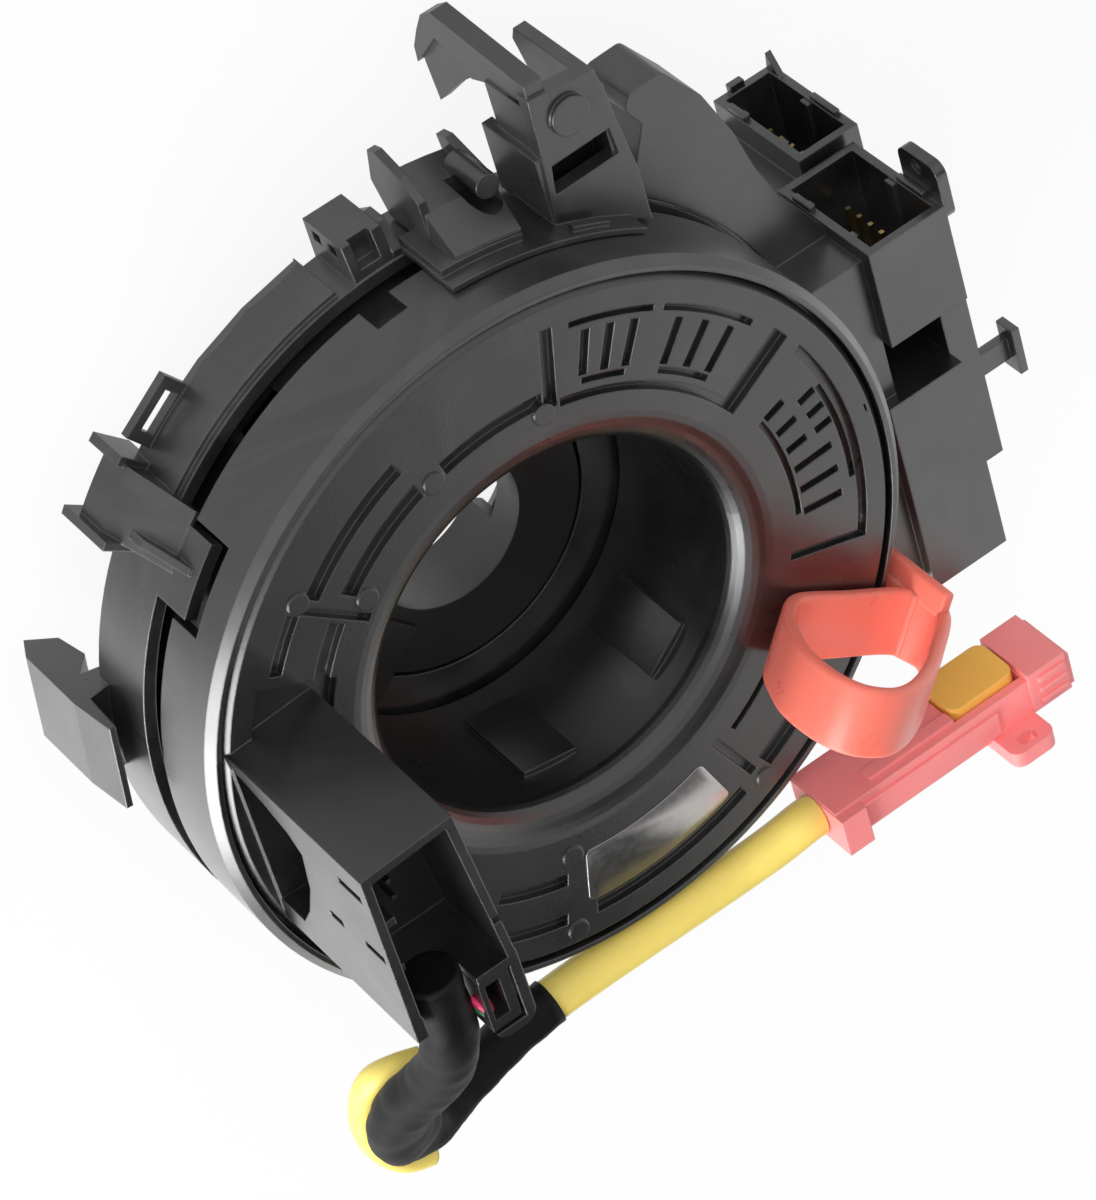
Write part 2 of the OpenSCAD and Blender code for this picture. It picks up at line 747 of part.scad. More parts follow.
module tower_plan() {
    polygon([
        [-tower_out, tower_y], [tower_x2, tower_y + 0.8], [tower_x3, tower_low], [cut_x, tower_low],
        [cut_x, tower_low - 2.2], [-tower_out - 0.2, tower_low - 2.2]
    ]);
}

module tower_hollow() {
    w = tower_wall;
    polygon([
        [-tower_out + w, tower_y - w], [tower_x2 - w, tower_y + 0.8 - w],
        [tower_x3 - w, tower_low + w], [-tower_out + w, tower_low + w]
    ]);
}

// Rail that wraps round the lead retainer.
module rail_2d() {
    x0 = lead_x + sleeve_d / 2 + seat_gap;
    difference() {
        offset(2, $fn = 32)
            translate([x0 + 2, tower_low - 8.4])
                square([tower_x3 - x0 - 4, 10]);
        translate([x0 - 3, tower_low - 8.8 - seat_gap])
            square([tower_x3 - 1.5 - x0 + 3, 20]);
    }
}

// Socket tower on the rotor disc, with an arch at the foot of its outer wall.
module tower() {
    difference() {
        union() {
            translate([0, 0, lv(disc_t / 2)])
                linear_extrude(tower_h + disc_t / 2)
                    tower_plan();
            // Foot that carries the lead retainer, and the rail beside it
            block(cut_x, tower_x3 - 0.2, tower_low - 8.8, tower_low + 0.5, -retainer_z, disc_t / 2);
            translate([0, 0, lv(-tower_h + 4)])
                linear_extrude(4)
                    rail_2d();
        }
        translate([0, 0, lv(-tower_floor)])
            linear_extrude(tower_h)
                tower_hollow();
        translate([0, 0, lv(-0.6)])
            linear_extrude(tower_floor - 2)
                tower_hollow();
        along_x(-tower_out - 1, tower_wall + 2)
            polygon([
                [tower_y - 1.6, lv(-0.6)], [tower_y - 3, lv(-7)], [10.4, lv(-11.7)], [8.2, lv(-13.9)],
                [1, lv(-12.3)], [-5.3, lv(-9.2)], [tower_low + 1.4, lv(-6)], [tower_low + 1.4, lv(-0.6)]
            ]);
        // Slots in the outer wall: place along Y, height from and to
        for (p = [[11, 23.2, 28.4], [0, 16.4, 19.4], [0.8, 24.6, 29]])
            translate([-tower_out - 1, p[0] - 0.6, lv(-p[1])])
                cube([tower_wall + 2, 1.2, p[2] - p[1]]);
        // Notches in the inner wall's rim
        for (y = [9, -3.6])
            translate([tower_x2 + 0.4, y, lv(-tower_h + 1.2)])
                cube([4, 1.3, 2]);
        // Cradle of the sleeve
        translate([lead_x, tower_low + 3, lv(-26)])
            rotate([90, 0, 0])
                cylinder(r = sleeve_d / 2 + seat_gap, h = 8);
        block(lead_x - sleeve_d / 2 - seat_gap, lead_x + sleeve_d / 2 + seat_gap,
              tower_low - 4, tower_low + 3, -tower_h - 1, -26);
    }
    // Ribs inside the socket
    block(-tower_out + tower_wall - eps, -tower_out + tower_wall + 2, 4, 5.2, -tower_h + 2, -tower_floor);
    block(-tower_out + tower_wall - eps, -tower_out + tower_wall + 1.4, -4.6, -3.4, -tower_h + 3, -tower_floor);
}

// Rotor: grooved face disc, bore mouth, tube and tower in one moulding.
module rotor() {
    color(plain_black)
    union() {
        difference() {
            rotate_extrude()
                rotor_section();
            face_grooves();
            for (a = [40, 220])
                spoke(a, throat_r - 1, tube_r + 1, 5.4, floor_depth - 2.6, floor_depth);
        }
        intersection() {
            face_bosses();
            cylinder(r = disc_r - 0.5, h = 4 * face_z, center = true);
        }
        tower();
        // Keys inside the tube
        for (a = [-52, -100])
            spoke(a, throat_r - 1, throat_r + 0.5, 8, 8, 22);
    }
}

// Ring pressed on the rotor tube behind the housing floor: it keeps the rotor in.
module rotor_retainer() {
    out = sensor_r - 5.5;
    color(dark_black)
    difference() {
        ring(tube_r + 0.1, out, case_depth + 0.25, case_depth + 1.25);
        for (a = [0 : 60 : 300])
            spoke(a, (tube_r + out) / 2, out + 1, 2, case_depth - 0.5, case_depth + 2);
    }
}

// Hub that the steering shaft turns: bore, flange, drive ring and two dogs into the rotor tube.
module angle_hub() {
    color(dark_black)
    difference() {
        union() {
            translate([0, 0, 0])
                cylinder(r = barrel_r, h = hub_len);
            ring(bore_r + 0.5, flange_r, floor_depth, floor_depth + 1.5);
            ring(bore_r + 0.5, gear_m * ring_teeth / 2 - 1.15 * gear_m + eps, floor_depth + 1, gear_z_d1);
            translate([0, 0, lv(gear_z_d1)])
                linear_extrude(gear_z_d1 - gear_z_d0)
                    gear_2d(ring_teeth, 0);
            for (a = [40, 220])
                spoke(a, barrel_r - 1, tube_r - 0.2, 5, floor_depth - 1.4, floor_depth + eps);
        }
        cylinder(r = bore_r, h = 4 * face_z, center = true);
        // Drive notches at the rear end of the bore
        sector(bore_r - 1, barrel_r + 1, -40, 14, 33.2, 40);
        spoke(172, bore_r - 1, barrel_r + 1, 4, 36, 40);
    }
}

// Contact pins in the tower's socket.
module tower_pins() {
    color([0.86, 0.72, 0.35])
    for (i = [0 : 4])
        translate([-41, 0.4 + i * 2.8, lv(-tower_floor)])
            cube([0.64, 0.64, 5]);
}

// Cap over the wire entry at the lower end of the tower, with its little window.
module lead_retainer() {
    x0 = lead_x + sleeve_d / 2 + seat_gap;
    y1 = tower_low - seat_gap;
    y0 = tower_low - 8.8;
    color(dark_black)
    difference() {
        block(x0, tower_x3 - 1.5 - seat_gap, y0, y1, -tower_h + 0.4, -retainer_z);
        block(x0 + 0.8, x0 + 2.9, y0 + 1.6, y1 - 0.9, -tower_h - 1, -tower_h + 6);
    }
}

// Plain silver label on the face.
module label_plate() {
    color([0.75, 0.75, 0.77])
    sector(34.8, 43.2, -101.6, -70, -0.15, 0);
}

// Route of the airbag lead's centre, from the tower to the connector: X, Y, height over the face.
route = [
    [-41.7, -8.8, 26.2], [-41.7, -16, 26.1], [-41.7, -20.5, 25.2], [-41.9, -27.3, 22], [-43, -34.6, 17],
    [-44.9, -40.1, 12.5], [-45.8, -46, 8.5], [-44.3, -53.2, 4.5], [-40.4, -57.9, 1.5], [-35, -58.6, -0.6],
    [-29.3, -57.8, -1.6], [-23.7, -56.8, -1.9], [-18.1, -55.9, -1.9], [-10, -55.7, -1.9], [1, -55.7, -1.8],
    [12, -55.2, -1.2], [18.2, -53.7, 0.1], [22.9, -52.05, 1.15], [25.05, -52, 1.2]
];
loop_route = [
    [-39.9, -42.1, 6.4], [-43.2, -41.7, 5.4], [-46, -42.8, 3.9], [-47.5, -47, 2],
    [-47.9, -53.6, 0], [-46.6, -60, -1.2], [-43.9, -64.8, -1.8], [-40.3, -66.9, -2.2]
];
sleeve_end = 7;
lead_start = 12;

// Catmull-Rom points between the chosen ones, lifted to the face.
fine = 3;
function spline(p) = let (n = len(p)) concat([for (i = [0 : n - 2], j = [0 : fine - 1])
    let (a = p[max(i - 1, 0)], b = p[i], c = p[i + 1], d = p[min(i + 2, n - 1)], t = j / fine)
        [0, 0, face_z] + 0.5 * (2 * b + (c - a) * t + (2 * a - 5 * b + 4 * c - d) * t * t
            + (3 * b - a - 3 * c + d) * t * t * t)], [[0, 0, face_z] + p[n - 1]]);

// Unit vectors along and across a path at its point i.
function dir_at(p, i) = let (v = p[min(i + 1, len(p) - 1)] - p[max(i - 1, 0)]) v / norm(v);
function side_at(p, i) = let (s = cross(dir_at(p, i), [0, 0, 1])) s / norm(s);

// A round tube swept along the points i0 to i1 of a path, closed at both ends.
module swept(p, d, i0, i1, sides = 12) {
    n = i1 - i0 + 1;
    pts = [for (i = [i0 : i1], k = [0 : sides - 1])
        let (s = side_at(p, i), u = cross(s, dir_at(p, i)))
            p[i] + d / 2 * (cos(k * 360 / sides) * s + sin(k * 360 / sides) * u)];
    walls = [for (i = [0 : n - 2], k = [0 : sides - 1], h = [0, 1])
        let (a = i * sides + k, b = i * sides + (k + 1) % sides)
            h == 0 ? [a, b, b + sides] : [a, b + sides, a + sides]];
    polyhedron(pts, concat([[for (k = [sides - 1 : -1 : 0]) k]], walls,
                           [[for (k = [0 : sides - 1]) (n - 1) * sides + k]]));
}

// Black sleeve from the tower to the bend.
module lead_sleeve_upper() {
    color(dark_black)
    swept(spline(route), sleeve_d, 0, fine * sleeve_end);
}

// Black sleeve from the bend to the yellow tube.
module lead_sleeve_lower() {
    color(dark_black)
    swept(spline(route), sleeve_d - 0.7, fine * sleeve_end, fine * lead_start);
}

// Yellow tube from the sleeve to the connector.
module airbag_lead() {
    color(lead_yellow)
    swept(spline(route), lead_d, fine * lead_start, fine * (len(route) - 1));
}

// Thin loop of the lead behind the bend.
module airbag_lead_loop() {
    color(lead_yellow)
    swept(spline(loop_route), loop_d, 0, fine * (len(loop_route) - 1), 10);
}

plug_x = 25.5;
plug_y0 = -54.9;
plug_z0 = -4;
lock_x = plug_x + 21.4;
lock_l = 10.6;
mouth_l = 6;

// Airbag connector: long body with a ridge, end collar and a latch tab.
module airbag_connector() {
    x0 = plug_x;
    x1 = plug_x + plug_l;
    y0 = plug_y0;
    y1 = plug_y0 + plug_w;
    z0 = plug_z0;
    z1 = plug_z0 + plug_t;
    color(plug_pink)
    difference() {
        union() {
            block(x0, x1, y0, y1, -z1, -z0);
            block(x0 - 0.2, x0 + 3.8, y0 - 0.5, y1 - 0.3, -z1 - 1.8, -z0 - 0.2);
            block(x1 - 6.4, x1 - 0.2, y0 + 0.5, y1 + 1.2, -z1 - 0.5, -z0 - 0.1);
            block(x1 - 3, x1 + 0.8, y0 + 0.3, y1 - 0.3, -z1 + 0.3, -z0 - 0.3);
            // Latch tab that stands up behind the body
            translate([x1 - 10, y0 + 0.4, face_z + z1 + 0.6])
                rotate([90, 0, 0])
                    linear_extrude(2.4)
                        round_rect(7, 9, 1.6);
            block(x0 + 7, x1 - 7, y1 - 0.1, y1 + 0.5, -z1 + 1.4, -z1 + 3.4);
        }
        translate([x1 - 10, y0 + 3, face_z + z1 + 3])
            rotate([90, 0, 0])
                linear_extrude(6)
                    round_rect(2.6, 2, 0.6);
        // Seat of the lock
        block(lock_x - 0.3, lock_x + lock_l + 0.3, y1 - 2.6, y1 + 3, -z1 + 1.4, -z0 + 1);
        // Mouth
        block(x1 - mouth_l, x1 + 2, y0 + 0.9, y1 - 0.9, -z1 + 1.2, -z0 - 1.2);
    }
}

// Pair of contacts in the connector's mouth.
module airbag_terminals() {
    color([0.86, 0.72, 0.35])
    for (z = [3.4, 6])
        translate([plug_x + plug_l - mouth_l, plug_y0 + plug_w / 2 - 0.32, face_z + plug_z0 + z])
            cube([2, 0.64, 0.64]);
}

// Secondary lock that is pushed into the connector once it is seated.
module connector_lock() {
    y1 = plug_y0 + plug_w;
    w = plug_t - 2.1;
    color([0.95, 0.76, 0.42])
    translate([lock_x + lock_l / 2, y1 + 1.3, face_z + plug_z0 + 0.4 + w / 2])
        rotate([90, 0, 0])
            linear_extrude(3.6)
                round_rect(lock_l, w, 1.6);
}

// Transport lock clip: finger loop, neck over the ring and a tongue outside it.
module lock_clip() {
    outline = [
        [-17.4, 0.6], [-9, 0.5], [0.8, 0.5], [3.4, 2.7], [3.5, 8.1], [-5.2, 17.4], [-9.9, 21.7],
        [-15.2, 25.4], [-19.7, 27], [-23.6, 26.3], [-26, 24.2], [-27.3, 20.6], [-27.3, 15.1],
        [-25.5, 10], [-22.7, 5]
    ];
    color(clip_pink)
    rotate([0, 0, clip_a])
        translate([case_r, 0, face_z]) {
            translate([0, clip_w / 2, 0])
                rotate([90, 0, 0])
                    linear_extrude(clip_w)
                        difference() {
                            offset(1.2, $fn = 32)
                                offset(-1.2)
                                    polygon(outline);
                            offset(1, $fn = 32)
                                offset(-1 - clip_t)
                                    polygon(outline);
                        }
            // Tongue outside the ring, wider on one side
            translate([1.3, 0.1 - clip_w / 2, -5.6])
                cube([2.05, clip_w - 0.2, 7.6]);
            translate([1.6, clip_w / 2 - 1, -5.4])
                cube([1.7, 3.6, 13.4]);
        }
}

case_ring();
case_body();
connector_block();
block_pins();
outer_lead_block();
sensor_housing();
sensor_cover();
sensor_board();
sensor_chips();
sensor_pins();
measuring_gear_a();
magnet_a();
measuring_gear_b();
magnet_b();
rotor();
rotor_retainer();
angle_hub();
ribbon_cable();
inner_lead_block();
tower_pins();
lead_retainer();
label_plate();
lead_sleeve_upper();
lead_sleeve_lower();
airbag_lead();
airbag_lead_loop();
airbag_connector();
airbag_terminals();
connector_lock();
lock_clip();
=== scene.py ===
# %% [markdown]
# # A steering clock spring
# The unit sits behind a steering wheel. A rotor turns inside a round housing, and a ribbon cable
# between them carries the wheel's signals. All of it could be modelled here once more, but the packed
# CAD model already has the right shapes and sizes. So it is the frame: its pieces stay where they are
# and get materials, and only the soft and the finely rounded ones are rebuilt.
# %% Load the frame
import math
import bpy
import numpy as np
from mathutils import Matrix


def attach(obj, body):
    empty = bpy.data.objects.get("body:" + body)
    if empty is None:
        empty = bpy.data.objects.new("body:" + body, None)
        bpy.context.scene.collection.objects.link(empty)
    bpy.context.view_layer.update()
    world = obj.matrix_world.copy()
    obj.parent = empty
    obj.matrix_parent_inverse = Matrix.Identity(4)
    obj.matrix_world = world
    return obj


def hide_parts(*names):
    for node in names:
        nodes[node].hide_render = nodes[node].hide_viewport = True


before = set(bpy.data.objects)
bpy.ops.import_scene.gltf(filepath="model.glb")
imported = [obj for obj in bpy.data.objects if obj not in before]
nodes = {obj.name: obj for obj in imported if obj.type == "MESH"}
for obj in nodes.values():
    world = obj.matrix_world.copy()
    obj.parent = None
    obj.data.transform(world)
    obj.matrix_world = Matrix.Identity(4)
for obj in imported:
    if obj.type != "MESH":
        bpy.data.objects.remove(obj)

bpy.context.view_layer.update()

# %% [markdown]
# ## Camera
# The photograph was taken with a long lens from the upper left of the face, so edges stay almost
# parallel. A camera can be turned to a target by a constraint, but its roll is then still open. Here
# its own directions, right, up and back, are the columns of its matrix, so nothing is left open.
# %% Camera
SENSOR_HEIGHT = 36  # mm
FOCAL_LENGTH = 168.9  # mm
right, up, back = (0.79751, -0.23058, 0.55750), (0.53283, 0.70263, -0.47161), (-0.28297, 0.67316, 0.68321)
camera_place = np.array([-197.50, 474.40, 513.24]) / 1000


def placed(x, y, z, at):
    """The matrix of something whose own directions are x, y and z and which stands at a place. The
    directions are its first three columns and the place is its last."""
    return Matrix([[x[i], y[i], z[i], at[i]] for i in range(3)] + [[0, 0, 0, 1]])


scene = bpy.context.scene
camera = bpy.data.objects.new("camera", bpy.data.cameras.new("camera"))
scene.collection.objects.link(camera)
bpy.context.scene.camera = camera
camera.data.sensor_fit = "VERTICAL"
camera.data.sensor_height = SENSOR_HEIGHT
camera.data.lens = FOCAL_LENGTH
camera.data.clip_start, camera.data.clip_end = 0.05, 20
camera.matrix_world = placed(right, up, back, camera_place)
print("camera is", round(float(np.linalg.norm(camera_place)), 3), "m from the axis")

# %% [markdown]
# ## From points to a mesh
# Every new piece is a grid of points worked out by a formula: rings along a path, or rings one over
# the other. Blender's curves can make a plain tube, but a grid takes wrinkles, folds and round edges
# as well. One function turns such a grid into a mesh. The points are in millimetres and the scene is
# in metres.
# %% Grid to mesh
MM = 0.001
FACE = 39.0  # height of the rotor face over the origin


def surface(name, grid, body, ends=False, closed=False):
    """A mesh from a grid of rows of points. Each row is a closed ring. Point k of ring i has the number
    i * ring + k. A quad joins it to the next point, and both to the same points of the next ring. ends
    closes the first and the last ring with a face, and closed joins the last ring to the first one."""
    grid = np.asarray(grid, float)
    rows, ring = grid.shape[:2]
    i = np.arange(rows if closed else rows - 1)[:, None]
    k = np.arange(ring)[None, :]
    next_i, next_k = (i + 1) % rows, (k + 1) % ring
    quads = np.stack([i * ring + k, i * ring + next_k, next_i * ring + next_k, next_i * ring + k], -1)
    faces = quads.reshape(-1, 4).tolist()
    if ends:
        faces += [list(range(ring))[::-1], [(rows - 1) * ring + j for j in range(ring)]]
    mesh = bpy.data.meshes.new(name)
    mesh.from_pydata((grid.reshape(-1, 3) * MM).tolist(), [], faces)
    mesh.shade_smooth()
    obj = bpy.data.objects.new(name, mesh)
    scene.collection.objects.link(obj)
    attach(obj, body)
    return obj


print("the rotor face lies", FACE, "mm over the origin")

# %% [markdown]
# ## Smooth paths and tubes
# A lead is a path with rings around it. The path goes through a few chosen points. A Bezier curve
# needs handles at each of them, while a Catmull-Rom curve takes its slopes from the neighbours, so
# the points alone are enough.
# %% Paths and tubes


def unit(v):
    """Vectors of length one: each is divided by its length."""
    return v / np.linalg.norm(v, axis=-1, keepdims=True)


def length(path):
    """The length of a path: the sum of the steps between its points."""
    return float(np.linalg.norm(np.diff(path, axis=0), axis=1).sum())


def spline(points, fine, closed=False):
    """Catmull-Rom points, fine for each span between two chosen ones: a span is the cubic whose slope
    at a chosen point is half the step between its two neighbours."""
    p = np.asarray(points, float)
    n = len(p)
    spans = np.arange(n if closed else n - 1)
    at = (lambda j: p[j % n]) if closed else (lambda j: p[np.clip(j, 0, n - 1)])
    a, b, c, d = (at(spans + s)[:, None] for s in (-1, 0, 1, 2))
    t = (np.arange(fine) / fine)[None, :, None]
    q = 0.5 * (2 * b + (c - a) * t + (2 * a - 5 * b + 4 * c - d) * t**2 + (3 * b - a - 3 * c + d) * t**3)
    q = q.reshape(-1, p.shape[1])
    return q if closed else np.vstack([q, p[-1:]])


def tube(path, radius, sides):
    """Rings around a path: each point lies at the radius from the path, along cos(turn) times the side
    direction plus sin(turn) times the top direction. The side direction is the path's direction crossed
    with the vertical, so the rings don't twist. radius is one number, or one for each point and side."""
    way = unit(np.gradient(path, axis=0))
    side = unit(np.cross(way, [0, 0, 1]))
    top = np.cross(side, way)
    turn = np.linspace(0, 2 * np.pi, sides, endpoint=False)
    radius = np.broadcast_to(radius, (len(path), sides))[..., None]
    ring = np.cos(turn)[None, :, None] * side[:, None] + np.sin(turn)[None, :, None] * top[:, None]
    return path[:, None] + radius * ring


FINE = 8  # points of a path between two chosen ones
print(FINE, "points for each span of a path")

# %% [markdown]
# ## Route of the airbag lead
# The yellow lead leaves the tower, bends at the rim, and runs along it to the airbag connector. A
# thin yellow loop goes back into the harness behind it. A simulation could let them hang, but both
# ends are held and the photograph shows the whole length, so the routes repeat the CAD model's
# points. Heights count from the rotor face.
# %% Routes
route = np.array([
    (-41.7, -8.8, 26.2), (-41.7, -16, 26.1), (-41.7, -20.5, 25.2), (-41.9, -27.3, 22), (-43, -34.6, 17),
    (-44.9, -40.1, 12.5), (-45.8, -46, 8.5), (-44.3, -53.2, 4.5), (-40.4, -57.9, 1.5), (-35, -58.6, -0.6),
    (-29.3, -57.8, -1.6), (-23.7, -56.8, -1.9), (-18.1, -55.9, -1.9), (-10, -55.7, -1.9), (1, -55.7, -1.8),
    (12, -55.2, -1.2), (18.2, -53.7, 0.1), (22.9, -52.05, 1.15), (25.05, -52, 1.2)]) + [0, 0, FACE]
loop_route = np.array([
    (-39.9, -42.1, 6.4), (-43.2, -41.7, 5.4), (-46, -42.8, 3.9), (-47.5, -47, 2),
    (-47.9, -53.6, 0), (-46.6, -60, -1.2), (-43.9, -64.8, -1.8), (-40.3, -66.9, -2.2)]) + [0, 0, FACE]
line = spline(route, FINE)
loop_line = spline(loop_route, FINE)
bend, tube_start = 7 * FINE, 12 * FINE  # where the sleeves meet, and where the bare lead starts
print("lead", round(length(line), 1), "mm, loop", round(length(loop_line), 1), "mm")

# %% [markdown]
# ## Lead
# The lead is a smooth round tube 6 mm thick. A curve with a bevel would look the same, and the tube
# function gives it as a closed mesh whose rings lie just where the sleeves need them.
# %% Lead
LEAD_RADIUS, LEAD_SIDES = 3.0, 32
lead = surface("airbag_lead_tube", tube(line, LEAD_RADIUS, LEAD_SIDES), "rotor", ends=True)
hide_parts("airbag_lead")
print("lead:", len(lead.data.vertices), "points")

# %% [markdown]
# ## Sleeves
# Two rubber sleeves guard the lead between the tower and the rim. They are pulled on by hand, so they
# wrinkle a little, and at the bend they are pressed wide. Cloth could be simulated over the lead.
# These wrinkles are low and even, so sine waves in the radius do it, and no run differs from another.
# %% Sleeves
SLEEVE_SIDES = 40
WAVES = ((0.05, 1.3, 2, 1), (0.02, 4.7, -1, 2), (0.06, 0.6, 3, 0))  # height, per mm, per turn, per seed
WAVE_ROOM = 0.12  # the mean radius lies this far inside, so that the waves stay near the CAD sleeve
FOLD, FOLD_REACH = 1.5, 9  # how wide the bend is pressed, and how far along that reaches
LIP = 0.5  # how far a sleeve stands out past the tube at its ends
CLOSED_IN = 0.18  # how far an end ring is drawn in to the path


def sleeve(name, first, last, radius, seed):
    """A soft sleeve on the route. Each wave is its height times the sine of a sum: the length times per
    mm, the angle times per turn, and the seed times per seed. At the bend the radius grows by FOLD
    times cos(angle) squared times a bell curve of the distance. Both ends are drawn in a little."""
    path = line[first:last + 1].copy()
    path[0] += LIP * unit(path[0] - path[1])
    path[-1] += LIP * unit(path[-1] - path[-2])
    s = np.concatenate([[0], np.cumsum(np.linalg.norm(np.diff(path, axis=0), axis=1))])[:, None]
    turn = np.linspace(0, 2 * np.pi, SLEEVE_SIDES, endpoint=False)[None]
    wave = sum(high * np.sin(per_mm * s + per_turn * turn + per_seed * seed)
               for high, per_mm, per_turn, per_seed in WAVES)
    near_bend = np.linalg.norm(path - line[bend], axis=1)[:, None]
    wave = wave + FOLD * np.cos(turn) ** 2 * np.exp(-(near_bend / FOLD_REACH) ** 2)
    rings = tube(path, radius - WAVE_ROOM + wave, SLEEVE_SIDES)
    drawn_in = [rings[[i]] * (1 - CLOSED_IN) + path[i] * CLOSED_IN for i in (0, -1)]
    return surface(name, np.concatenate([drawn_in[0], rings, drawn_in[1]]), "rotor", ends=True)


sleeves = [sleeve("sleeve_upper", 0, bend, 3.8, 0.4), sleeve("sleeve_lower", bend, tube_start, 3.4, 1.9)]
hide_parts("lead_sleeve_upper")
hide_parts("lead_sleeve_lower")
print([f"{s.name}: {len(s.data.vertices)} points" for s in sleeves])

# %% [markdown]
# ## Loop
# The thin loop behind the sleeves is a tube as well, 4 mm thick. The sleeves and the connector
# with its lock and contacts are on the lead.
# %% Loop
LOOP_RADIUS, LOOP_SIDES = 2.0, 24
loop = surface("lead_loop", tube(loop_line, LOOP_RADIUS, LOOP_SIDES), "rotor", ends=True)
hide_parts("airbag_lead_loop")

# %% [markdown]
# ## Shader nodes
# A material, the floor and the world are all trees of shader nodes. They could be drawn by hand in the
# editor. Three short helpers make a node with its inputs, a node that moves a value from one range to
# another, and a noise, so that a whole material reads like a list.
# %% Node helpers
WHITE = (1, 1, 1, 1)


def tree(owner):
    """An empty node tree of a material or of the world."""
    owner.use_nodes = True
    t = owner.node_tree
    t.nodes.clear()
    return t


def node(t, kind, inputs=None, **settings):
    """A shader node with its settings and inputs. An input is a value or another node's socket."""
    n = t.nodes.new(kind)
    for key, value in settings.items():
        setattr(n, key, value)
    for key, value in (inputs or {}).items():
        if isinstance(value, bpy.types.NodeSocket):
            t.links.new(value, n.inputs[key])
        else:
            n.inputs[key].default_value = value
    return n


def ranged(t, value, from_low, from_high, to_low, to_high, curve="LINEAR"):
    """A value moved from one range to another and kept inside it. SMOOTHSTEP eases both ends."""
    n = node(t, "ShaderNodeMapRange", {"Value": value, "From Min": from_low, "From Max": from_high,
                                       "To Min": to_low, "To Max": to_high}, interpolation_type=curve)
    return n.outputs[0]


def noise(t, where, scale, detail, roughness=0.5, distortion=0.0):
    """Noise between 0 and 1. scale is the number of its waves in a metre."""
    n = node(t, "ShaderNodeTexNoise", {"Vector": where, "Scale": scale, "Detail": detail,
                                       "Roughness": roughness, "Distortion": distortion})
    return n.outputs[0]


def calculated(t, operation, *values):
    """The result of a Math node."""
    return node(t, "ShaderNodeMath", dict(enumerate(values)), operation=operation).outputs[0]


print("node helpers are ready")

# %% [markdown]
# ## Floor
# The product lies in a white booth. A camera sees the floor as white, while the part's shadow stays on
# it. Glossy black plastic shows what it mirrors, and a white floor all round would turn it pale. So
# for mirrored rays a grey card covers the side of the floor where y is positive, the upper one in the
# picture. A studio does the same with real cards, because black on black would lose its form.
# %% Floor
scene.view_settings.view_transform = "Standard"
FLOOR_HALF, FLOOR_Z = 6, -0.0081  # m, half its side and its height
FLOOR_COLOUR = (0.92, 0.92, 0.92, 1)
GLOW_SHARE = 0.88  # how much of the floor seen straight or in gloss is plain white
CARD_FROM, CARD_TO, CARD_SHARE, CARD_LEVEL = -0.01, 0.035, 0.9, 0.34  # m, m, its cover, its grey

corners = [(x * FLOOR_HALF, y * FLOOR_HALF, FLOOR_Z) for x, y in ((-1, -1), (1, -1), (1, 1), (-1, 1))]
floor_mesh = bpy.data.meshes.new("floor")
floor_mesh.from_pydata(corners, [], [(0, 1, 2, 3)])
floor = bpy.data.objects.new("floor", floor_mesh)
scene.collection.objects.link(floor)
floor_mesh.materials.append(bpy.data.materials.new("floor"))

t = tree(floor_mesh.materials[0])
rays = node(t, "ShaderNodeLightPath").outputs
mirrored = calculated(t, "MAXIMUM", rays["Is Glossy Ray"], rays["Is Transmission Ray"])
spot = node(t, "ShaderNodeSeparateXYZ", {0: node(t, "ShaderNodeTexCoord").outputs["Object"]})
card = ranged(t, spot.outputs["Y"], CARD_FROM, CARD_TO, 0.0, CARD_SHARE, "SMOOTHSTEP")
carded = calculated(t, "MULTIPLY", mirrored, card)
direct = calculated(t, "MAXIMUM", rays["Is Camera Ray"], mirrored)
seen = calculated(t, "MULTIPLY", direct, GLOW_SHARE)
lit = node(t, "ShaderNodeBsdfDiffuse", {"Color": FLOOR_COLOUR})
glow = node(t, "ShaderNodeEmission", {"Color": WHITE, "Strength": 1.0})
booth = node(t, "ShaderNodeMixShader", {0: seen, 1: lit.outputs[0], 2: glow.outputs[0]})
grey = node(t, "ShaderNodeEmission", {"Color": WHITE, "Strength": CARD_LEVEL})
with_card = node(t, "ShaderNodeMixShader", {0: carded, 1: booth.outputs[0], 2: grey.outputs[0]})
node(t, "ShaderNodeOutputMaterial", {"Surface": with_card.outputs[0]})
print("floor at", FLOOR_Z * 1000, "mm")

# %% [markdown]
# ## World
# The world lights from all sides, as the booth's walls do. One direction is dark: it is the one that
# the face mirrors into the camera, and a pale world there would hide the grooves. The dot product of
# the ray with that direction tells how near it is.
# %% World
DARK_WAY = (0.28, -0.67, 0.68)  # what the face mirrors into the camera
DARK_FROM, DARK_TO = 0.35, 0.85  # dot products where the dark starts and where it is full
WALL_LEVEL, DARK_LEVEL = 0.55, 0.02

world = bpy.data.worlds.new("booth")
scene.world = world
t = tree(world)
sky = node(t, "ShaderNodeTexCoord").outputs["Generated"]
toward = node(t, "ShaderNodeVectorMath", {0: sky, 1: DARK_WAY}, operation="DOT_PRODUCT")
level = ranged(t, toward.outputs["Value"], DARK_FROM, DARK_TO, WALL_LEVEL, DARK_LEVEL, "SMOOTHSTEP")
around = node(t, "ShaderNodeBackground", {"Color": WHITE, "Strength": level})
node(t, "ShaderNodeOutputWorld", {"Surface": around.outputs[0]})
print("the world's level goes from", WALL_LEVEL, "down to", DARK_LEVEL)

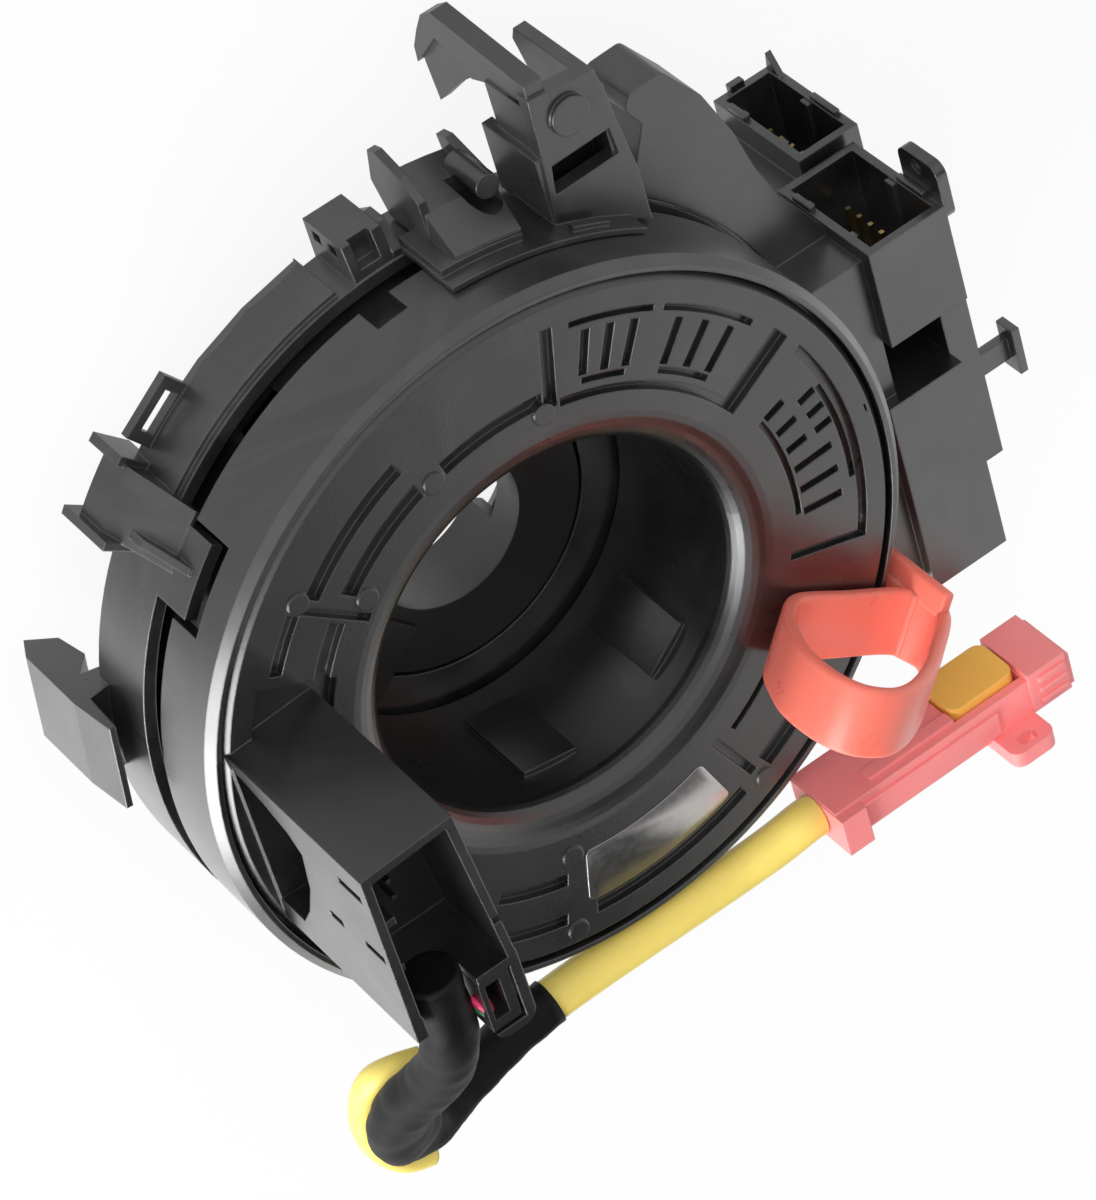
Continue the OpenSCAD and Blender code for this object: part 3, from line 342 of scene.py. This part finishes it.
# %% [markdown]
# ## Lamps
# A large soft box stands at the left, where the photograph's faces are palest. A second lamp fills the
# front without showing in the gloss, and a weak third one draws a soft sheen on the face. Spot lamps
# would throw hard shadows, and the photograph has none.
# %% Lamps


def soft_box(name, at, size, power, aim=(0, 0, 0.03), in_gloss=True):
    """A square lamp at a place in metres. Its back direction runs from aim to that place, and its side
    is the vertical crossed with it. in_gloss says whether gloss shows it."""
    lamp = bpy.data.lights.new(name, "AREA")
    lamp.shape, lamp.size, lamp.energy = "SQUARE", size, power
    obj = bpy.data.objects.new(name, lamp)
    obj.visible_glossy = in_gloss
    scene.collection.objects.link(obj)
    z = unit(np.array(at, float) - aim)
    x = unit(np.cross([0, 0, 1], z))
    obj.matrix_world = placed(x, np.cross(z, x), z, at)


soft_box("key_left", (-0.62, -0.2, 0.16), 0.6, 8)
soft_box("front_fill", (-0.25, 0.75, 0.75), 0.7, 5.5, in_gloss=False)
soft_box("face_gloss", (0.243, -0.167, 0.209), 0.35, 0.29, aim=(0.0, 0.035, 0.039))

# %% [markdown]
# ## Moulded plastic
# Moulded plastic has a fine grain from the mould, clouds of slightly different gloss, pale scuffs
# along its edges, and a haze where hands have touched it. The pale edges are partly worn plastic and
# partly painted highlight, the light that round edges catch. An image could carry all that, but noise
# has no seams and holds up close. The CAD solids have sharp edges. A Bevel node bends the normal near
# each of them, so they catch light as round ones do, and the meshes stay as they are.
# %% Moulded plastic
PALER, PALE_LIFT = 1.6, 0.28  # the colour of a pale edge, partly wear and partly painted highlight: the plastic's own, times this and plus this
COAT_IOR = 1.8


def moulded(name, color, rough=0.42, grain=0.035, edge=0.25, edge_wear_and_highlight=0.12, tint=0.12, shine=0.5,
            through=0.0, polish=0.0, dust=0.0):
    """Plastic from a mould. tint is the share by which the colour drifts, grain the bump's strength,
    edge the radius of the rounded edges in mm, scuff the brightness of the pale edges, which are partly
    worn plastic and partly painted highlight, shine the strength of the reflection, through the share
    of light that goes into the plastic, and polish the weight of a second, polished skin, as a mould
    with mirror walls leaves it. dust is the pale haze of handling, which lies in patches. A place is
    near an edge where the rounded normal turns away from the face's own: the paling there, wear and
    painted highlight together, is that turn times a speckled noise."""
    material = bpy.data.materials.new(name)
    t = tree(material)
    where = node(t, "ShaderNodeTexCoord").outputs["Object"]
    clouds = noise(t, where, scale=60, detail=7, roughness=0.62, distortion=0.6)
    fine = noise(t, where, scale=2600, detail=3, roughness=0.6)
    specks = noise(t, where, scale=700, detail=5, roughness=0.75)
    patches = noise(t, where, scale=32, detail=9, roughness=0.68, distortion=1.2)

    round_edge = node(t, "ShaderNodeBevel", {"Radius": edge * MM}, samples=4).outputs[0]
    bump = node(t, "ShaderNodeBump", {"Strength": grain, "Distance": 0.0004, "Height": fine,
                                      "Normal": round_edge}).outputs[0]
    own = node(t, "ShaderNodeNewGeometry").outputs["True Normal"]
    turned = node(t, "ShaderNodeVectorMath", {0: round_edge, 1: own}, operation="DOT_PRODUCT")
    near = ranged(t, turned.outputs["Value"], 0.995, 0.86, 0.0, 1.0)  # cosines of the normal's turn
    speckled_share = ranged(t, specks, 0.42, 0.62, 0.25, 1.0)  # a quarter of the pale edge, wear and painted highlight, is there between specks
    # The pale edges are partly worn plastic and partly painted highlight.
    wear_and_highlight_mask = calculated(t, "MULTIPLY", near, speckled_share)
    haze = ranged(t, patches, 0.44, 0.68, 0.0, dust, "SMOOTHSTEP")
    amount = calculated(t, "MULTIPLY_ADD", wear_and_highlight_mask, edge_wear_and_highlight, haze)

    drift = ranged(t, clouds, 0.3, 0.7, 1 - tint, 1 + tint)  # most of the noise is in 0.3 to 0.7
    drifting = node(t, "ShaderNodeCombineColor", {0: drift, 1: drift, 2: drift}).outputs[0]
    base = node(t, "ShaderNodeMix", data_type="RGBA", blend_type="MULTIPLY",
                inputs={0: 1.0, 6: (*color, 1), 7: drifting}).outputs[2]
    worn_and_highlit_colour = (*[min(1.0, c * PALER + PALE_LIFT) for c in color], 1)
    pale = node(t, "ShaderNodeMix", data_type="RGBA", blend_type="MIX",
                inputs={0: amount, 6: base, 7: worn_and_highlit_colour}).outputs[2]
    gloss = ranged(t, clouds, 0.3, 0.7, rough - 0.1, rough + 0.12)
    shader = node(t, "ShaderNodeBsdfPrincipled", {
        "Base Color": pale, "Roughness": gloss, "Normal": bump, "Specular IOR Level": shine,
        "Subsurface Weight": through, "Subsurface Scale": 0.003, "Subsurface Radius": (1.0, 0.6, 0.5),
        "Coat Weight": polish, "Coat Roughness": rough, "Coat IOR": COAT_IOR, "Coat Normal": bump})
    node(t, "ShaderNodeOutputMaterial", {"Surface": shader.outputs[0]})
    return material


# The pale edge colour serves for wear and for painted highlight alike.
print("a scuff is", PALER, "times the plastic's colour plus", PALE_LIFT)

# %% [markdown]
# ## Metal
# Contacts and the label are stamped from sheet, which is brushed in one direction. Anisotropic gloss
# could show that, and so does noise that is stretched along one axis, which also gives a fine bump.
# %% Metal
STRETCH = 14


def metal(name, color, rough):
    """Stamped metal: the roughness and the bump follow noise that is STRETCH times finer along z."""
    material = bpy.data.materials.new(name)
    t = tree(material)
    where = node(t, "ShaderNodeTexCoord").outputs["Object"]
    stretched = node(t, "ShaderNodeMapping", {"Vector": where, "Scale": (1, 1, STRETCH)}).outputs[0]
    lines = noise(t, stretched, scale=900, detail=4)
    gloss = ranged(t, lines, 0.0, 1.0, rough - 0.08, rough + 0.12)
    bump = node(t, "ShaderNodeBump", {"Strength": 0.05, "Distance": 0.0003, "Height": lines}).outputs[0]
    shader = node(t, "ShaderNodeBsdfPrincipled", {"Base Color": (*color, 1), "Metallic": 1.0,
                                                  "Roughness": gloss, "Normal": bump})
    node(t, "ShaderNodeOutputMaterial", {"Surface": shader.outputs[0]})
    return material


print("brushed metal is", STRETCH, "times finer along its height")

# %% [markdown]
# ## Finishes
# The housing and the rotor are black, and the rotor's face is a little duller. The clip lets light
# through, the sleeves are matt rubber, and the gears inside are natural white. One table holds each
# finish and another says which CAD piece has it, so a colour is changed in one place.
# %% Finishes
kinds = {
    "black": moulded("black_moulding", (0.009, 0.009, 0.01), rough=0.32, edge=0.3, edge_wear_and_highlight=0.2, tint=0.5,
                     shine=0.9, polish=1.0, dust=0.06),
    "face": moulded("face_moulding", (0.008, 0.008, 0.008), rough=0.32, grain=0.05, edge=0.3, edge_wear_and_highlight=0.2,
                    tint=0.5, shine=0.9, polish=0.7, dust=0.03),
    "dark": moulded("dark_moulding", (0.014, 0.014, 0.015), rough=0.36, shine=0.8),
    "rubber": moulded("sleeve_rubber", (0.005, 0.005, 0.005), rough=0.55, grain=0.14, edge=0.1,
                      edge_wear_and_highlight=0.03, shine=0.2),
    "yellow": moulded("yellow_tube", (0.84, 0.67, 0.16), rough=0.38, edge=0.1, edge_wear_and_highlight=0.0, tint=0.06,
                      through=0.15),
    "pink": moulded("pink_connector", (0.95, 0.27, 0.27), rough=0.36, edge_wear_and_highlight=0.35, tint=0.07, through=0.1),
    "orange": moulded("orange_lock", (0.95, 0.52, 0.1), rough=0.4, edge_wear_and_highlight=0.3, tint=0.06, through=0.1),
    "coral": moulded("coral_clip", (0.9, 0.21, 0.155), rough=0.34, edge=0.4, edge_wear_and_highlight=0.06, tint=0.06,
                     through=0.6),
    "natural": moulded("natural_moulding", (0.62, 0.61, 0.55), rough=0.4, tint=0.05),
    "board": moulded("solder_mask", (0.03, 0.16, 0.06), rough=0.3, grain=0.1),
    "film": moulded("ribbon_film", (0.55, 0.22, 0.05), rough=0.25, shine=0.8),
    "label": metal("label_foil", (0.62, 0.61, 0.6), 0.32),
    "red": moulded("red_wire", (0.82, 0.05, 0.16), rough=0.4, edge_wear_and_highlight=0.0),
    "green": moulded("green_wire", (0.05, 0.28, 0.1), rough=0.4, edge_wear_and_highlight=0.2),
    "gold": metal("gold_contacts", (0.85, 0.62, 0.28), 0.3),
    "tinned": metal("tinned_contacts", (0.2, 0.19, 0.18), 0.35),
    "magnet": metal("magnet_steel", (0.32, 0.32, 0.34), 0.45),
}
use = {
    "black": ["case_ring", "case_body", "connector_block", "sensor_housing"],
    "face": ["rotor"],
    "dark": ["sensor_cover", "rotor_retainer", "angle_hub", "lead_retainer", "sensor_chips"],
    "pink": ["airbag_connector"], "orange": ["connector_lock"], "coral": ["lock_clip"],
    "natural": ["outer_lead_block", "inner_lead_block", "measuring_gear_a", "measuring_gear_b"],
    "board": ["sensor_board"], "film": ["ribbon_cable"], "label": ["label_plate"],
    "gold": ["block_pins", "sensor_pins"], "tinned": ["tower_pins", "airbag_terminals"],
    "magnet": ["magnet_a", "magnet_b"],
}
for kind, names in use.items():
    for name in names:
        nodes[name].material_slots[0].material = kinds[kind]


def finish_with(obj, kind):
    """Gives a new piece its material."""
    obj.data.materials.append(kinds[kind])


finish_with(lead, "yellow")
finish_with(loop, "yellow")
for piece in sleeves:
    finish_with(piece, "rubber")
print(len(kinds), "materials")

# %% [markdown]
# ## Band of the lock clip
# The coral clip holds the rotor during transport. It is a moulded band bent to a finger loop. An
# extruded outline with a Bevel modifier would do, but the band is rounder inside the bends than a
# bevel leaves it. So a rounded section is carried round a closed curve.
# %% Clip band
CASE_R, CLIP_A = 52.0, math.radians(-34.2)  # the rim's radius, and the clip's angle on it
CLIP_W, CLIP_T, CLIP_EDGE = 9.5, 1.9, 0.6  # width and thickness of the band, and its edges' radius
clip_outline = np.array([
    (-17.4, 0.6), (-9, 0.5), (0.8, 0.5), (3.4, 2.7), (3.5, 8.1), (-5.2, 17.4), (-9.9, 21.7),
    (-15.2, 25.4), (-19.7, 27), (-23.6, 26.3), (-26, 24.2), (-27.3, 20.6), (-27.3, 15.1), (-25.5, 10),
    (-22.7, 5)])  # from the rim outwards, and over the face


def on_clip(radial, across, height):
    """Points of the clip's own frame in the row frame: radial from the rim, across along the rim. The
    clip's frame is turned by its angle round the axis."""
    x = CASE_R + radial
    return np.stack([x * math.cos(CLIP_A) - across * math.sin(CLIP_A),
                     x * math.sin(CLIP_A) + across * math.cos(CLIP_A), FACE + height], -1)


def quarter_turns(steps):
    """The angles of four quarter circles, each with its two ends."""
    return np.concatenate([np.linspace(q, q + 90, steps) for q in (0, 90, 180, 270)]) * math.pi / 180


def rounded(width, height, radius, steps=5):
    """Points of a rounded rectangle: each corner's quarter circle, pushed out to its place."""
    turn = quarter_turns(steps)
    sx = np.repeat([1, -1, -1, 1], steps) * (width / 2 - radius)
    sy = np.repeat([1, 1, -1, -1], steps) * (height / 2 - radius)
    return sx + radius * np.cos(turn), sy + radius * np.sin(turn)


curve = spline(clip_outline, FINE, closed=True)
way = unit(np.roll(curve, -1, 0) - np.roll(curve, 1, 0))
inward = np.stack([-way[:, 1], way[:, 0]], -1)
centre = curve + inward * CLIP_T / 2
u, v = rounded(CLIP_T, CLIP_W, CLIP_EDGE)
flat = centre[:, None] + inward[:, None] * u[None, :, None]
band = surface("clip_band", on_clip(flat[..., 0], np.broadcast_to(v, flat.shape[:2]), flat[..., 1]),
               "lock_clip", closed=True)
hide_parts("lock_clip")
print("clip band:", len(curve), "rings of", len(u), "points")

# %% [markdown]
# ## Tongue of the lock clip
# The clip's tongue reaches down outside the ring, and a wing stands beside it. Both are blocks with
# round edges. A cube with a Bevel modifier looks the same, but here the same few lines serve every
# small block of the scene.
# %% Clip tongue
BLOCK_STEPS = 5


def rounded_block(lo, hi, edge):
    """A block with round edges and corners: a ball of the edge's radius, cut in eight and pulled apart
    to the corners. Rings run from the bottom to the top. Gives the points' x, y and z."""
    lo, hi = np.array(lo, float), np.array(hi, float)
    lift = np.concatenate([np.linspace(-90, 0, BLOCK_STEPS), np.linspace(0, 90, BLOCK_STEPS)])
    lift = lift * math.pi / 180
    turn = quarter_turns(BLOCK_STEPS)
    sx, sy = np.repeat([1, 0, 0, 1], BLOCK_STEPS), np.repeat([1, 1, 0, 0], BLOCK_STEPS)
    core_lo, core_hi = lo + edge, hi - edge
    x = core_lo[0] + sx * (core_hi[0] - core_lo[0])
    y = core_lo[1] + sy * (core_hi[1] - core_lo[1])
    z = np.repeat([core_lo[2], core_hi[2]], BLOCK_STEPS)[:, None] + edge * np.sin(lift)[:, None]
    out = edge * np.cos(lift)[:, None]
    shape = (len(lift), len(turn))
    return [np.broadcast_to(c, shape) for c in (x + out * np.cos(turn), y + out * np.sin(turn), z)]


TONGUE_EDGE = 0.45
low, side = CLIP_W / 2 - 0.1, CLIP_W / 2 + 2.6  # half the tongue's width, and the wing's outer side
tongue = [
    surface("clip_tongue", on_clip(*rounded_block((1.3, -low, -5.6), (3.35, low, 3.4), TONGUE_EDGE)),
            "lock_clip", ends=True),
    surface("clip_wing", on_clip(*rounded_block((1.6, low - 1, -5.4), (3.3, side, 8), TONGUE_EDGE)),
            "lock_clip", ends=True)]
for piece in [band] + tongue:
    finish_with(piece, "coral")
print("clip:", [piece.name for piece in [band] + tongue])

# %% [markdown]
# ## Label
# The label is a thin foil with round corners on the face, and it stays bare. It follows the face's
# ring, so it is worked out as a rounded rectangle and then bent round the axis. A Bend modifier would
# do that too, with more to set.
# %% Label
CORNER_STEPS = 6
LONG_POINTS = 24  # points along each long side, so that it follows the arc


def arc_plate(name, r0, r1, a0, a1, low, high, corner, edge, body):
    """A thin plate between two radii and two angles. Its outline is a rounded rectangle bent round the
    axis: its height becomes an angle. Four rings, inset by the edge's radius at the top and bottom,
    make the soft rim."""
    mid, half = (r0 + r1) / 2, math.radians(a1 - a0) / 2
    along = np.linspace(0, 1, LONG_POINTS, endpoint=False)[1:]
    rings = []
    for inset, z in ((edge, low), (0, low + edge), (0, high - edge), (edge, high)):
        x, y = rounded(r1 - r0 - 2 * inset, 2 * half * mid - 2 * inset, corner, CORNER_STEPS)
        px, py = [], []
        for i in range(4):
            first, last = i * CORNER_STEPS, (i + 1) * CORNER_STEPS - 1
            after = (last + 1) % (4 * CORNER_STEPS)
            px += list(x[first:last + 1])
            py += list(y[first:last + 1])
            if i in (1, 3):  # the long sides
                px += list(x[last] + (x[after] - x[last]) * along)
                py += list(y[last] + (y[after] - y[last]) * along)
        r = mid + np.array(px)
        a = math.radians((a0 + a1) / 2) + np.array(py) / mid
        rings.append(np.stack([r * np.cos(a), r * np.sin(a), np.full(len(r), z)], -1))
    return surface(name, rings, body, ends=True)


label = arc_plate("label_foil", 34.8, 43.2, -101.6, -70, FACE + 0.005, FACE + 0.15, 0.9, 0.05, "rotor")
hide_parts("label_plate")
finish_with(label, "label")
print("label:", len(label.data.vertices), "points")

# %% [markdown]
# ## Two wires
# Two thin wires, red and green, come out at the cap beside the tower and go in again. Each is a tube
# on a short bow. The green one is the same bow set a little aside, because wires of one pair lie side
# by side.
# %% Wires
WIRE_RADIUS, WIRE_SIDES, WIRE_FINE = 0.55, 14, 6
bow = np.array([(-38.2, -15.3, 26.9), (-37.6, -16.1, 28.2), (-37, -17.1, 28.5), (-36.4, -17.7, 27.4),
                (-36.1, -17.9, 25.6)])
WIRES = (("wire_red", "red", (0, 0, 0)), ("wire_green", "green", (0.25, -1.6, -0.35)))
for name, kind, (dx, dy, dz) in WIRES:
    path = spline(bow + [dx, dy, dz + FACE], WIRE_FINE)
    finish_with(surface(name, tube(path, WIRE_RADIUS, WIRE_SIDES), "rotor", ends=True), kind)
    print(name, round(length(path), 1), "mm")

# %% [markdown]
# ## Keys in the sockets
# A harness plug fits its socket one way round, because ribs on the walls and steps on the rim meet
# grooves in the plug. They could be cut into the socket's own mesh. Small blocks with round edges are
# simpler, and each is set a little into the wall that it grows from, so no gap shows.
# %% Socket keys
SOCKETS = {"upper_key": (58.0, 70.4, 18.9, 12.1, 31.6), "sensor_key": (62.6, 72.2, 20.1, -8.0, 11.0)}
WALL = 1.2  # the sockets' walls; a row above is x from and to, y of the mouth, and z from and to
RIB_ROOT, RIB_HIGH = 0.4, 0.7  # how far a rib is set into its wall, and how far it stands out
RIB_IN, RIB_END = 0.3, 9  # how far behind the mouth a rib starts and ends
STEP_ROOT, STEP_HIGH, STEP_IN = 0.5, 0.8, 0.1  # a rim step: into the rim, out of it, in from its sides
KEY_EDGE = 0.25


def small_block(name, lo, hi, edge, body, kind):
    """A block with round edges between two corners, made as rounded_block says, with its finish."""
    block = surface(name, np.stack(rounded_block(lo, hi, edge), -1), body, ends=True)
    finish_with(block, kind)


for name, (x0, x1, mouth, z0, z1) in SOCKETS.items():
    left, right, mid = x0 + WALL, x1 - WALL, (z0 + z1) / 2
    ribs = [(left - RIB_ROOT, left + RIB_HIGH, z0 + 4.2, z0 + 5.6),
            (left - RIB_ROOT, left + RIB_HIGH, z1 - 6.0, z1 - 4.6),
            (right - RIB_HIGH, right + RIB_ROOT, mid - 0.9, mid + 0.9)]
    steps = [(x0 + STEP_IN, left - STEP_IN, z0 + 3, z0 + 7),
             (right + STEP_IN, x1 - STEP_IN, z1 - 9, z1 - 3.4)]
    boxes = [((xa, mouth - RIB_END, za), (xb, mouth - RIB_IN, zb)) for xa, xb, za, zb in ribs]
    boxes += [((xa, mouth - STEP_ROOT, za), (xb, mouth + STEP_HIGH, zb)) for xa, xb, za, zb in steps]
    for i, (lo, hi) in enumerate(boxes):
        small_block(f"{name}_{i}", lo, hi, KEY_EDGE, "housing", "black")
    print(name, len(boxes), "keys")

# %% [markdown]
# ## Lines on the connector
# The pink connector has a raised panel, and grip ribs at its head for the fingers. A bump could fake
# them, but they would vanish at a slant, so they are small blocks like the keys.
# %% Connector panel and grip ribs
front = FACE + 6  # height of the connector's front side
PANEL_EDGE = 0.2
GRIPS, GRIP_Y, GRIP_PITCH, GRIP_WIDTH = 3, -53.6, 1.9, 0.9
small_block("connector_panel", (29.6, -54.1, front - 0.3), (52.4, -50.4, front + 0.45), PANEL_EDGE,
            "rotor", "pink")
for i in range(GRIPS):
    y = GRIP_Y + GRIP_PITCH * i
    small_block(f"connector_grip_{i}", (59.2, y, front + 0.2), (63.6, y + GRIP_WIDTH, front + 0.95),
                KEY_EDGE, "rotor", "pink")
print("connector: a panel and", GRIPS, "grip ribs")

# %% [markdown]
# ## Last update
# The view layer is updated once more.
# %% Update
bpy.context.view_layer.update()
